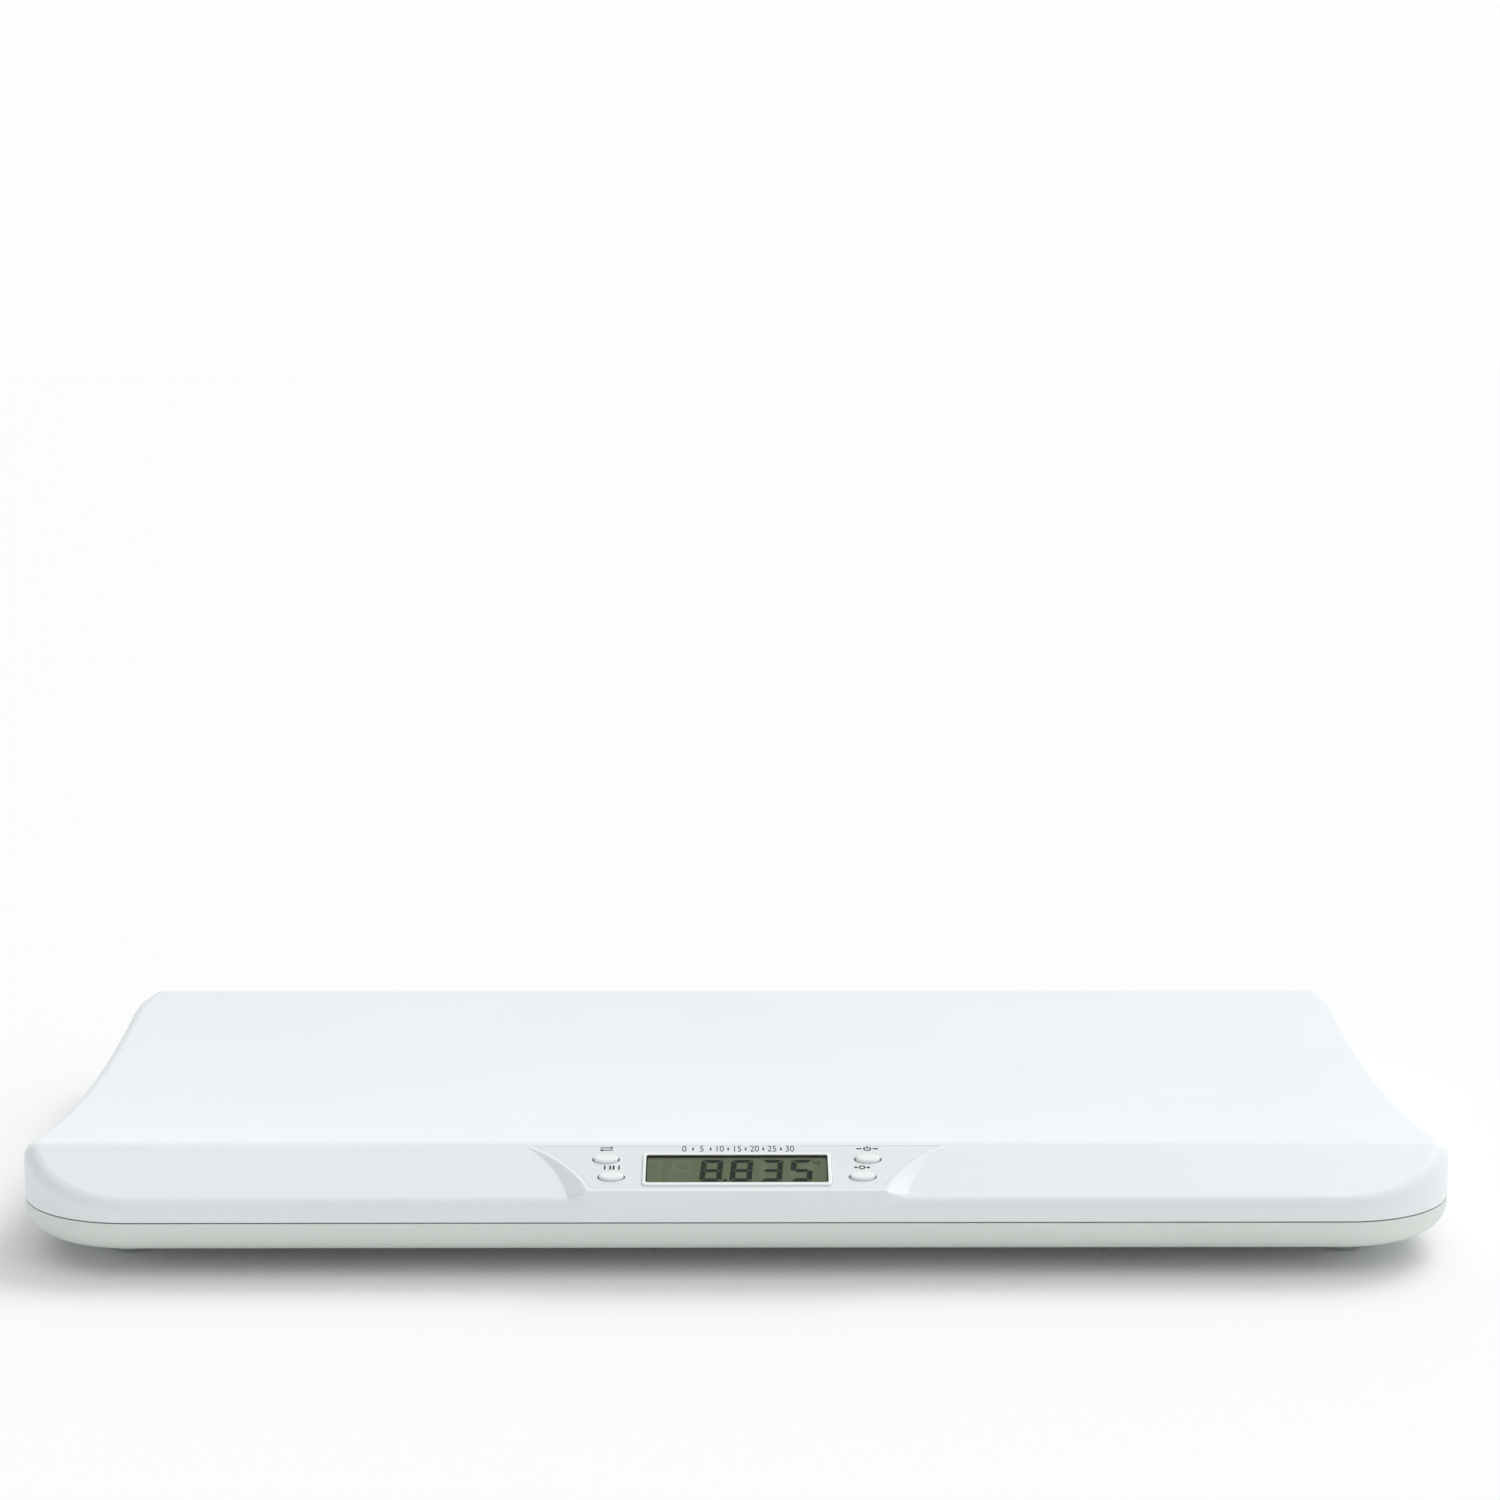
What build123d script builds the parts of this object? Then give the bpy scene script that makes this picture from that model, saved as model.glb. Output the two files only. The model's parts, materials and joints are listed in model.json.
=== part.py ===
from build123d import *
from math import asin, atan2, cos, radians, sin, sqrt, tan
import os

os.makedirs("parts", exist_ok=True)

# Animal weighing scale: a low platform with a dished tray, a console in its front slope and four
# weighing feet. The origin is on the ground under the middle of the body. +X runs along the long
# side, -Y is the console side and +Z is up. All sizes are in millimetres.

# Outer body
body_length = 550.0
body_depth = 310.0
corner_radius = 46.0
ridge_height = 44.0
front_ridge_inset = 32.0
rear_ridge_inset = 27.0
tray_dip = 10.4
front_edge_height = 29.7
rear_edge_height = 32.0
ridge_rounding = 6.0
rim_rounding = 6.0
seam_height = 22.0
seam_gap = 0.5
base_bottom = 9.5
base_rounding = 10.5

# Walls, ribs and posts
cover_skin = 2.8
base_skin = 2.6
rib = 1.6
cover_rib_bottom = 25.5
cover_rib_pitch = (62.0, 54.0)
cover_rib_count = (9, 5)
cover_rib_reach = (510.0, 222.0)
cover_rib_shift = 6.0
cover_post_radius = 4.5
base_rib_top = 15.0
base_rib_pitch = (50.0, 64.0)
base_rib_count = (9, 4)
base_rib_reach = (400.0, 284.0)
base_post_radius = 5.5
rim_band_height = 4.0
rim_band_inset = 1.0
lip_inset = 3.1
lip_thickness = 1.4
lip_height = 2.9

# Body screws: their seat in the base, counterbore, through hole, and pilot hole in the cover
body_screw_seat = 14.5
body_screw_bore = 3.5
body_screw_hole = 1.7
body_screw_pilot = 1.55
body_screw_pilot_depth = 9.0

# Screws: head radius, head height, shank radius, shank length
body_screw = (2.8, 2.2, 1.5, 14.0)
cell_screw = (2.1, 1.4, 1.0, 6.0)
foot_screw = (3.0, 1.9, 1.5, 10.0)
board_screw = (2.0, 1.3, 1.0, 4.8)
small_pilot = 1.05
small_pilot_depth = 4.1

# Console: the panel plane falls from just under the front ridge to the front wall
panel_top_height = ridge_height - 0.3
panel_bottom_height = 34.2
panel_half_top = 84.5
panel_half_bottom = 55.8
panel_side_radius = 62.0
panel_skin = 2.5
side_face_angle = 31.0
raise_depth = 9.0
corner_top_drop = 0.9
corner_top_radius = 0.3
corner_top_lead = -1.2
corner_low_radius = 66.0
corner_low_lead = 10.0
corner_turn = 52.0
panel_front_rounding = 0.8
panel_side_rounding = 0.5
overlay_inset = 1.7
overlay_thickness = 0.35
overlay_recess = 0.4
pocket_half_top = 64.0
pocket_half_bottom = 56.0
pocket_top = 3.0
pocket_bottom = 31.6
pocket_depth = 12.0

# Clearance all round between fixed pieces that slip into each other
slip = 0.1

# Display, measured down the panel's slope from the ridge
display_slope = 18.6
bezel_length = 71.4
bezel_width = 22.2
bezel_corner = 1.8
bezel_rise = 0.6
bezel_lip = 0.3
bezel_rounding = 0.45
window_length = 68.8
window_width = 19.0
window_corner = 1.0
window_thickness = 0.4
lcd_length = 69.8
lcd_width = 19.8
lcd_depth = 0.15
lcd_thickness = 2.6
rear_glass_thickness = 1.1
rear_glass_ledge = 1.2
holder_wall = 1.5
holder_end_wall = 1.0
holder_opening_edge = 4.0
strip_length = 61.4
strip_width = 1.9
strip_edge = 0.6

# Keys: name, place along X, place down the slope
keys = {
    "unit": (-49.7, 11.6),
    "hold": (-47.3, 23.6),
    "power": (49.7, 11.6),
    "tare": (47.3, 23.6),
}
key_length = 9.2
key_width = 5.4
key_well_length = 10.7
key_well_width = 5.9
key_rise = 1.0
key_crown = 0.85
key_travel = 0.8
key_flange = 0.9
key_flange_overlap = 0.5

# Switches under the keys
switch_size = 6.2
switch_height = 4.2
plunger_radius = 1.75
plunger_reach = 1.8

# Circuit board under the panel
pcb_length = 142.0
pcb_width = 26.0
pcb_slope = 17.5
pcb_depth = 9.0
pcb_thickness = 1.6
pcb_post_x = 67.0
pcb_post_slopes = (9.0, 26.0)
pcb_post_radius = 2.8
pcb_post_root = 1.6
pcb_screw_hole = 1.2
processor_place = (13.0, -22.0)
processor_radius = 6.5
converter_place = (-24.0, -22.0)
converter_size = (10.0, 6.0)
driver_places = ((-42.0, -21.0), (36.0, -21.0))
driver_size = (4.5, 2.2)
chip_height = 1.6
chip_bevel = 0.5
header_slope = 10.0
header_length = 8.5
header_width = 5.6
header_height = 6.0
header_places = (-52.0, -26.0, 0.0, 26.0, 52.0)

# Feet and load cells
foot_x = 234.0
foot_y = 113.0
foot_radius = 12.0
foot_bottom = 1.6
foot_shoulder = 13.5
foot_neck_radius = 4.0
foot_rounding = 3.0
foot_clearance = 0.8
foot_collar_width = 2.6
foot_collar_height = 2.4
foot_pilot = 1.55
foot_pilot_depth = 9.0
pad_radius = 8.5
pad_thickness = 2.8
pad_rounding = 0.9
cell_size = 36.0
cell_bottom = 17.0
cell_thickness = 2.5
cell_corner = 3.0
cell_hole = 15.0
cell_post_radius = 3.0
cell_screw_hole = 1.3
cell_opening = (24.0, 25.0)
cell_opening_shift = 0.5
cell_tongue = (14.0, 21.0)
cell_tongue_shift = 2.5
cell_tongue_hole = 1.7
gauge_shift = 9.0
gauge_size = (9.0, 5.0)
gauge_corner = 1.5
gauge_thickness = 1.0

# Battery bay, battery door and its hinge
bay_y = 40.0
bay_length = 46.4
bay_width = 50.4
bay_ceiling = 23.5
bay_wall = 1.8
bay_roof = 1.5
bay_ledge_thickness = 2.0
door_length = 54.0
door_width = 58.0
door_thickness = 2.6
door_gap = 0.3
door_ledge = 4.0
hinge_pin_radius = 0.8
hinge_pin_length = 1.5
hinge_bore_radius = 0.88
hinge_bore_length = 2.1
latch_length = 10.0
latch_thickness = 1.2
latch_height = 2.1
latch_notch_length = 12.0
latch_notch_height = 4.0
scoop_radius = 8.0
scoop_depth = 1.6
scoop_slope = 30.0
grip_length = 22.0
grip_width = 1.2
grip_pitch = 3.0
grip_count = 4
grip_depth = 0.5
grip_place = 10.0

# Batteries and their contacts
battery_count = 4
battery_radius = 5.25
battery_pitch = 10.9
battery_height = 44.5
battery_tip_radius = 1.9
battery_tip_length = 1.0
battery_bevel = 0.4
battery_lift = 0.2
contact_thickness = 0.4
contact_height = 9.0
bridge_plate_length = 19.0
end_plate_length = 8.4
spring_wire = 0.35
spring_radius = 3.2
spring_pitch = 1.4

# Wires: where each run bends on its way from the header to its end
wire_radius = 1.0
lead_radius = 1.1
wire_bend = 25.0
header_drop = 5.0
front_wire_bends = [(62.0, -110.0), (118.0, -86.0), (198.0, -76.0)]
rear_wire_bends = [(34.0, -108.0), (66.0, -62.0), (104.0, 16.0), (186.0, 72.0)]
wire_cell_approach = 29.0
wire_cell_end = 11.5
lead_lift = 2.5

# Blank rating label on the underside
label_x = 112.0
label_length = 66.0
label_width = 40.0
label_corner = 2.0
label_thickness = 0.15

# Values worked out from the sizes above
half_length = body_length / 2
half_depth = body_depth / 2
front_ridge_y = front_ridge_inset - half_depth
rear_ridge_y = half_depth - rear_ridge_inset
tray_middle_y = (front_ridge_y + rear_ridge_y) / 2
cover_bottom = seam_height + seam_gap / 2
base_top = seam_height - seam_gap / 2
base_floor = base_bottom + base_skin
panel_angle = atan2(panel_top_height - panel_bottom_height, front_ridge_inset)
panel_slope_length = front_ridge_inset / cos(panel_angle)
panel = Plane(
    origin=(0, front_ridge_y, panel_top_height),
    x_dir=(1, 0, 0),
    z_dir=(0, -sin(panel_angle), cos(panel_angle)),
)
panel_corner = Vector(panel_half_top, 0)
side_chord = Vector(panel_half_bottom, -panel_slope_length) - panel_corner
side_centre = (
    panel_corner
    + side_chord / 2
    + side_chord.normalized().rotate(Axis.Z, 90)
    * sqrt(panel_side_radius**2 - side_chord.length**2 / 4)
)
side_start = atan2((panel_corner - side_centre).Y, (panel_corner - side_centre).X)
side_end = side_start + 2 * asin(side_chord.length / 2 / panel_side_radius)
panel_normal = Axis(panel.origin, panel.z_dir)
facet_angle = atan2(ridge_height - front_edge_height, front_ridge_inset)
facet_fall = tan(facet_angle - panel_angle)
cell_top = cell_bottom + cell_thickness
switch_top = pcb_depth - switch_height
corners = {
    "front_left": (-1, -1),
    "front_right": (1, -1),
    "rear_left": (-1, 1),
    "rear_right": (1, 1),
}
foot_places = [(side * foot_x, end * foot_y) for side, end in corners.values()]
body_posts = [(side * 150.0, end * 133.0) for side, end in corners.values()]
body_posts += [(side * 256.0, end * 42.0) for side, end in corners.values()]
cell_posts = [
    (x + side * cell_hole, y + end * cell_hole)
    for x, y in foot_places
    for side, end in corners.values()
]
pcb_posts = [(side * pcb_post_x, -slope) for side in (-1, 1) for slope in pcb_post_slopes]


def body_plan(inset, mode=Mode.ADD):
    """Plan outline of the body, moved inwards by inset."""
    width = body_depth - 2 * inset
    RectangleRounded(body_length - 2 * inset, width, corner_radius - inset, mode=mode)


def tray_section(bottom):
    """End view of the cover: front slope, dished tray and rear slope, with rounded ridges."""
    with BuildLine() as outline:
        Polyline(
            (front_ridge_y, ridge_height),
            (-half_depth, front_edge_height),
            (-half_depth, bottom),
            (half_depth, bottom),
            (half_depth, rear_edge_height),
            (rear_ridge_y, ridge_height),
        )
        ThreePointArc(
            (front_ridge_y, ridge_height),
            (tray_middle_y, ridge_height - tray_dip),
            (rear_ridge_y, ridge_height),
        )
    make_face(outline.edges())
    fillet(vertices().group_by(Axis.Y)[-1], ridge_rounding)


def side_point(angle, spread):
    """A point on the console's curved side, moved outwards by spread."""
    radius = panel_side_radius - spread
    return side_centre + Vector(radius * cos(angle), radius * sin(angle))


def panel_outline(end_angle, spread=0.0):
    """Console outline on the panel plane: wide at the ridge, with sides that curve inwards."""
    middle_angle = (side_start + end_angle) / 2
    ends = []
    with BuildLine() as outline:
        for side in (-1, 1):
            points = [side_point(angle, spread) for angle in (side_start, middle_angle, end_angle)]
            arc = ThreePointArc(*[(side * point.X, point.Y) for point in points])
            ends.append(arc)
        Line(ends[0] @ 0, ends[1] @ 0)
        Line(ends[0] @ 1, ends[1] @ 1)
    make_face(outline.edges())


def corner_outside(side, radius, lead):
    """The room outside a rounded front corner of the console, in plan.

    The rounding leaves the front wall at a distance inwards from the panel's corner.
    """
    start = Vector(side * (panel_half_bottom - lead), -half_depth)
    turns = [radians(corner_turn) * share for share in (0.5, 1.0)]
    halfway, arc_end = [
        start + Vector(side * radius * sin(turn), radius * (1 - cos(turn))) for turn in turns
    ]
    beyond = side * (panel_half_top + radius)
    with BuildLine() as outline:
        ThreePointArc(start, halfway, arc_end)
        Polyline(
            arc_end,
            (beyond, arc_end.Y),
            (beyond, -half_depth - 1),
            (start.X, -half_depth - 1),
            start,
        )
    make_face(outline.edges())


def add_screws(seat, points, head_radius, head_height, shank_radius, shank_length):
    """Cross-head screws whose heads sit under the seat plane and whose shanks go along its normal."""
    bar_length = 1.1 * head_radius
    bar_width = 0.28 * head_radius
    with BuildSketch(seat) as heads:
        with Locations(*points):
            Circle(head_radius)
    extrude(heads.sketch, amount=-head_height)
    with BuildSketch(seat) as shanks:
        with Locations(*points):
            Circle(shank_radius)
    extrude(shanks.sketch, amount=shank_length)
    with BuildSketch(seat.offset(-head_height)) as crosses:
        with Locations(*points):
            Rectangle(bar_length, bar_width)
            Rectangle(bar_width, bar_length)
    extrude(crosses.sketch, amount=0.6 * head_height, mode=Mode.SUBTRACT)


def bend_radii(points, limit):
    """The largest radius that each corner of a wire's route leaves room for, up to a limit."""
    radii = []
    for before, corner, after in zip(points, points[1:], points[2:]):
        arriving = Vector(*corner) - Vector(*before)
        leaving = Vector(*after) - Vector(*corner)
        half_turn = radians(arriving.get_angle(leaving)) / 2
        room = 0.45 * min(arriving.length, leaving.length) / tan(half_turn)
        radii.append(min(room, limit))
    return radii


def sweep_wire(points, radius):
    """A round wire along straight runs joined by tangent arcs."""
    with BuildLine() as route:
        FilletPolyline(*points, radius=bend_radii(points, wire_bend))
    with BuildSketch(Plane(origin=route.line @ 0, z_dir=route.line % 0)) as section:
        Circle(radius)
    sweep(section.sketch, path=route.line)


# Tray cover: outer form, raised console, hollow underside, ribs and screw posts
with BuildPart() as cover_cavity:
    with BuildSketch(Plane.XY.offset(cover_bottom - 5)):
        body_plan(cover_skin)
    extrude(amount=ridge_height)
    with BuildSketch(Plane.YZ):
        tray_section(cover_bottom - 10)
        offset(amount=-cover_skin, mode=Mode.REPLACE)
    extrude(amount=half_length, both=True, mode=Mode.INTERSECT)

with BuildPart() as cover_ribs:
    with BuildSketch(Plane.XY.offset(cover_rib_bottom)):
        with Locations((0, tray_middle_y + cover_rib_shift)):
            with GridLocations(cover_rib_pitch[0], 0, cover_rib_count[0], 1):
                Rectangle(rib, cover_rib_reach[1])
            with GridLocations(0, cover_rib_pitch[1], 1, cover_rib_count[1]):
                Rectangle(cover_rib_reach[0], rib)
    extrude(amount=ridge_height)
    with BuildSketch(Plane.XY.offset(seam_height)):
        with Locations(*body_posts):
            Circle(cover_post_radius)
    extrude(amount=ridge_height)
    add(cover_cavity.part, mode=Mode.INTERSECT)

# Front corners of the console: sharp at the panel and ever rounder towards the seam
with BuildPart() as console_corners:
    for side in (-1, 1):
        with BuildSketch(Plane.XY.offset(panel_bottom_height - corner_top_drop)):
            corner_outside(side, corner_top_radius, corner_top_lead)
        with BuildSketch(Plane.XY.offset(base_top)):
            corner_outside(side, corner_low_radius, corner_low_lead)
        loft(ruled=True)

with BuildPart() as console_raise:
    with BuildSketch(panel):
        panel_outline(side_end + 0.25)
    with BuildSketch(panel.offset(-raise_depth)):
        panel_outline(side_end + 0.25, raise_depth / tan(radians(side_face_angle)))
    loft(ruled=True)
    split(bisect_by=Plane.XZ.offset(half_depth), keep=Keep.BOTTOM)
    # Soft edges on the panel: first the front edge, then the two curved sides
    for kind, rounding in ((GeomType.LINE, panel_front_rounding), (GeomType.CIRCLE, panel_side_rounding)):
        panel_edges = faces().sort_by(panel_normal)[-1].edges().filter_by(kind)
        fillet(panel_edges.filter_by(lambda edge: edge.center().Y < front_ridge_y - 5), rounding)
    add(console_corners.part, mode=Mode.SUBTRACT)

with BuildPart() as tray_cover:
    with BuildSketch(Plane.XY.offset(cover_bottom)):
        body_plan(0)
    extrude(amount=ridge_height)
    with BuildSketch(Plane.YZ):
        tray_section(cover_bottom)
    extrude(amount=half_length, both=True, mode=Mode.INTERSECT)
    walls = faces().filter_by(lambda face: abs(face.normal_at().Z) < 0.01)
    top_edges = walls.edges().filter_by(lambda edge: edge.center().Z > cover_bottom + 2)
    fillet(top_edges.filter_by(Axis.Z, reverse=True), rim_rounding)
    add(console_raise.part)
    add(cover_cavity.part, mode=Mode.SUBTRACT)
    # Pocket behind the panel for the display and the switches
    with BuildSketch(panel.offset(-panel_skin)):
        with BuildLine():
            Polyline(
                (-pocket_half_top, -pocket_top),
                (pocket_half_top, -pocket_top),
                (pocket_half_bottom, -pocket_bottom),
                (-pocket_half_bottom, -pocket_bottom),
                close=True,
            )
        make_face()
    extrude(amount=-pocket_depth, mode=Mode.SUBTRACT)
    add(cover_ribs.part)
    for slope in pcb_post_slopes:
        post_start = slope * facet_fall + pcb_post_root
        with BuildSketch(panel.offset(-post_start)):
            with Locations((-pcb_post_x, -slope), (pcb_post_x, -slope)):
                Circle(pcb_post_radius)
        extrude(amount=post_start - pcb_depth)
    with BuildSketch(panel.offset(-pcb_depth)):
        with Locations(*pcb_posts):
            Circle(small_pilot)
    extrude(amount=small_pilot_depth, mode=Mode.SUBTRACT)
    # Pilot holes for the body screws
    with BuildSketch(Plane.XY.offset(seam_height)):
        with Locations(*body_posts):
            Circle(body_screw_pilot)
    extrude(amount=body_screw_pilot_depth, mode=Mode.SUBTRACT)
    # Recess for the printed overlay, opening for the display and holes for the keys
    with BuildSketch(panel):
        panel_outline(side_end)
        offset(amount=-overlay_inset, mode=Mode.REPLACE)
    extrude(amount=-overlay_recess, mode=Mode.SUBTRACT)
    with BuildSketch(panel):
        with Locations((0, -display_slope)):
            Rectangle(lcd_length + 4 * slip, lcd_width + 4 * slip)
        for x, slope in keys.values():
            with Locations((x, -slope)):
                Ellipse(key_well_length / 2, key_well_width / 2)
    extrude(amount=-panel_skin - 1, mode=Mode.SUBTRACT)
tray_cover.part.label = "tray_cover"
export_step(tray_cover.part, "parts/tray_cover.step")

# Printed overlay film, which lies in its recess around the display bezel and the keys
with BuildPart() as control_overlay:
    with BuildSketch(panel.offset(-overlay_recess)):
        panel_outline(side_end)
        offset(amount=-overlay_inset - slip, mode=Mode.REPLACE)
        with Locations((0, -display_slope)):
            RectangleRounded(
                bezel_length + 2 * slip, bezel_width + 2 * slip, bezel_corner + slip, mode=Mode.SUBTRACT
            )
        for x, slope in keys.values():
            with Locations((x, -slope)):
                Ellipse(key_well_length / 2, key_well_width / 2, mode=Mode.SUBTRACT)
    extrude(amount=overlay_thickness)
control_overlay.part.label = "control_overlay"
export_step(control_overlay.part, "parts/control_overlay.step")

# Display bezel: a low raised frame with a lip over the window's edge
with BuildPart() as display_bezel:
    with BuildSketch(panel.offset(-overlay_recess)):
        with Locations((0, -display_slope)):
            RectangleRounded(bezel_length, bezel_width, bezel_corner)
    extrude(amount=overlay_recess + bezel_rise)
    fillet(faces().sort_by(panel_normal)[-1].outer_wire().edges(), bezel_rounding)
    with BuildSketch(panel.offset(bezel_rise)):
        with Locations((0, -display_slope)):
            RectangleRounded(window_length, window_width, window_corner)
    extrude(amount=-bezel_lip, mode=Mode.SUBTRACT)
    with BuildSketch(panel.offset(bezel_rise - bezel_lip)):
        with Locations((0, -display_slope)):
            Rectangle(lcd_length + 2 * slip, lcd_width + 2 * slip)
    extrude(amount=-bezel_rise - overlay_recess, mode=Mode.SUBTRACT)
display_bezel.part.label = "display_bezel"
export_step(display_bezel.part, "parts/display_bezel.step")

# Clear window under the bezel's lip
with BuildPart() as display_window:
    with BuildSketch(panel.offset(bezel_rise - bezel_lip)):
        with Locations((0, -display_slope)):
            Rectangle(lcd_length, lcd_width)
    extrude(amount=-window_thickness)
display_window.part.label = "display_window"
export_step(display_window.part, "parts/display_window.step")

# Liquid crystal panel: the rear glass is longer than the front glass, for the contact ledge
with BuildPart() as lcd_panel:
    with BuildSketch(panel.offset(-lcd_depth)):
        with Locations((0, -display_slope)):
            Rectangle(lcd_length, lcd_width)
    extrude(amount=-lcd_thickness)
    with BuildSketch(panel.offset(-lcd_depth - lcd_thickness)):
        with Locations((0, rear_glass_ledge / 2 - display_slope)):
            Rectangle(lcd_length, lcd_width + rear_glass_ledge)
    extrude(amount=-rear_glass_thickness)
lcd_panel.part.label = "lcd_panel"
export_step(lcd_panel.part, "parts/lcd_panel.step")

# Display holder between the panel's back and the circuit board
holder_back = lcd_depth + lcd_thickness + rear_glass_thickness
holder_middle = (0, rear_glass_ledge / 2 - display_slope)
holder_corner = 1.5
strip_y = lcd_width / 2 - strip_edge - display_slope
with BuildPart() as display_holder:
    with BuildSketch(panel.offset(-panel_skin)):
        with Locations(holder_middle):
            RectangleRounded(
                lcd_length + 2 * holder_wall,
                lcd_width + rear_glass_ledge + 2 * holder_end_wall,
                holder_corner,
            )
    extrude(amount=panel_skin - pcb_depth)
    with BuildSketch(panel.offset(-panel_skin)):
        with Locations(holder_middle):
            Rectangle(lcd_length + slip, lcd_width + rear_glass_ledge + slip)
    extrude(amount=panel_skin - holder_back, mode=Mode.SUBTRACT)
    with BuildSketch(panel.offset(-holder_back)):
        with Locations((0, -display_slope - holder_wall)):
            RectangleRounded(
                lcd_length - 2 * holder_opening_edge, lcd_width - 2 * holder_opening_edge, holder_corner
            )
        with Locations((0, strip_y)):
            Rectangle(strip_length + 3 * slip, strip_width + 3 * slip)
    extrude(amount=holder_back - pcb_depth, mode=Mode.SUBTRACT)
display_holder.part.label = "display_holder"
export_step(display_holder.part, "parts/display_holder.step")

# Elastomer strip that joins the display's contacts to the circuit board
with BuildPart() as contact_strip:
    with BuildSketch(panel.offset(-holder_back)):
        with Locations((0, strip_y)):
            Rectangle(strip_length, strip_width)
    extrude(amount=holder_back - pcb_depth)
contact_strip.part.label = "contact_strip"
export_step(contact_strip.part, "parts/contact_strip.step")

# Circuit board
with BuildPart() as main_board:
    with BuildSketch(panel.offset(-pcb_depth)):
        with Locations((0, -pcb_slope)):
            RectangleRounded(pcb_length, pcb_width, 1.5)
        with Locations(*pcb_posts):
            Circle(pcb_screw_hole, mode=Mode.SUBTRACT)
    extrude(amount=-pcb_thickness)
main_board.part.label = "main_board"
export_step(main_board.part, "parts/main_board.step")

# Processor under its sealing blob, load-cell converter and two drivers, on the board's underside
board_back = panel.offset(-pcb_depth - pcb_thickness)
with BuildPart() as board_chips:
    with BuildSketch(board_back):
        with Locations(processor_place):
            Circle(processor_radius)
        with Locations(converter_place):
            Rectangle(*converter_size)
        with Locations(*driver_places):
            Rectangle(*driver_size)
    extrude(amount=-chip_height)
    chip_backs = faces().sort_by(panel_normal)[: 2 + len(driver_places)]
    chamfer(chip_backs.edges(), chip_bevel)
board_chips.part.label = "board_chips"
export_step(board_chips.part, "parts/board_chips.step")

# Wire headers: one for each load cell and one for the batteries
with BuildPart() as wire_headers:
    with BuildSketch(board_back):
        for x in header_places:
            with Locations((x, -header_slope)):
                Rectangle(header_length, header_width)
    extrude(amount=-header_height)
wire_headers.part.label = "wire_headers"
export_step(wire_headers.part, "parts/wire_headers.step")

# Switch housings: each has a bore for its own plunger
with BuildPart() as switch_housings:
    with BuildSketch(panel.offset(-pcb_depth)):
        for x, slope in keys.values():
            with Locations((x, -slope)):
                Rectangle(switch_size, switch_size)
    extrude(amount=pcb_depth - switch_top)
    with BuildSketch(panel.offset(-switch_top)):
        for x, slope in keys.values():
            with Locations((x, -slope)):
                Circle(plunger_radius + slip)
    extrude(amount=-plunger_reach - 2 * key_travel, mode=Mode.SUBTRACT)
switch_housings.part.label = "switch_housings"
export_step(switch_housings.part, "parts/switch_housings.step")

# Keys: a crowned oval cap over a flange that keeps it behind the panel, and its switch plunger
flange_front = panel_skin + slip
flange_back = flange_front + key_flange
for name, (x, slope) in keys.items():
    with BuildPart() as key_cap:
        with BuildSketch(panel.offset(-flange_front)):
            with Locations((x, -slope)):
                Ellipse(key_length / 2, key_width / 2)
        extrude(amount=flange_front + key_rise)
        fillet(faces().sort_by(panel_normal)[-1].edges(), key_crown)
        with BuildSketch(panel.offset(-flange_front)):
            with Locations((x, -slope)):
                Ellipse(
                    key_well_length / 2 + key_flange_overlap, key_well_width / 2 + key_flange_overlap
                )
        extrude(amount=-key_flange)
    key_cap.part.label = f"key_{name}"
    export_step(key_cap.part, f"parts/key_{name}.step")
    with BuildPart() as plunger:
        with BuildSketch(panel.offset(-flange_back)):
            with Locations((x, -slope)):
                Circle(plunger_radius)
        extrude(amount=flange_back - switch_top - plunger_reach)
    plunger.part.label = f"plunger_{name}"
    export_step(plunger.part, f"parts/plunger_{name}.step")

# Base shell: shallow pan with a tongue inside the seam, posts, ribs, foot openings and battery bay
bay_block_top = base_bottom + door_thickness + door_gap + bay_ledge_thickness
hinge_y = bay_y + door_width / 2 - door_thickness / 2
hinge_z = base_bottom + door_thickness / 2
with BuildPart() as base_cavity:
    with BuildSketch(Plane.XY.offset(base_floor)):
        body_plan(base_skin)
    extrude(amount=base_top)
    fillet(faces().sort_by(Axis.Z)[0].edges(), base_rounding - base_skin)

with BuildPart() as base_inside:
    with BuildSketch(Plane.XY.offset(base_floor)):
        with GridLocations(base_rib_pitch[0], 0, base_rib_count[0], 1):
            Rectangle(rib, base_rib_reach[1])
        with GridLocations(0, base_rib_pitch[1], 1, base_rib_count[1]):
            Rectangle(base_rib_reach[0], rib)
    extrude(amount=base_rib_top - base_floor)
    with BuildSketch(Plane.XY.offset(base_floor)):
        with Locations(*body_posts):
            Circle(base_post_radius)
    extrude(amount=seam_height - base_floor)
    with BuildSketch(Plane.XY.offset(base_floor)):
        with Locations(*cell_posts):
            Circle(cell_post_radius)
    extrude(amount=cell_bottom - base_floor)
    with BuildSketch(Plane.XY.offset(base_floor)):
        with Locations(*foot_places):
            Circle(foot_radius + foot_collar_width)
    extrude(amount=foot_collar_height)
    add(base_cavity.part, mode=Mode.INTERSECT)

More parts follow.
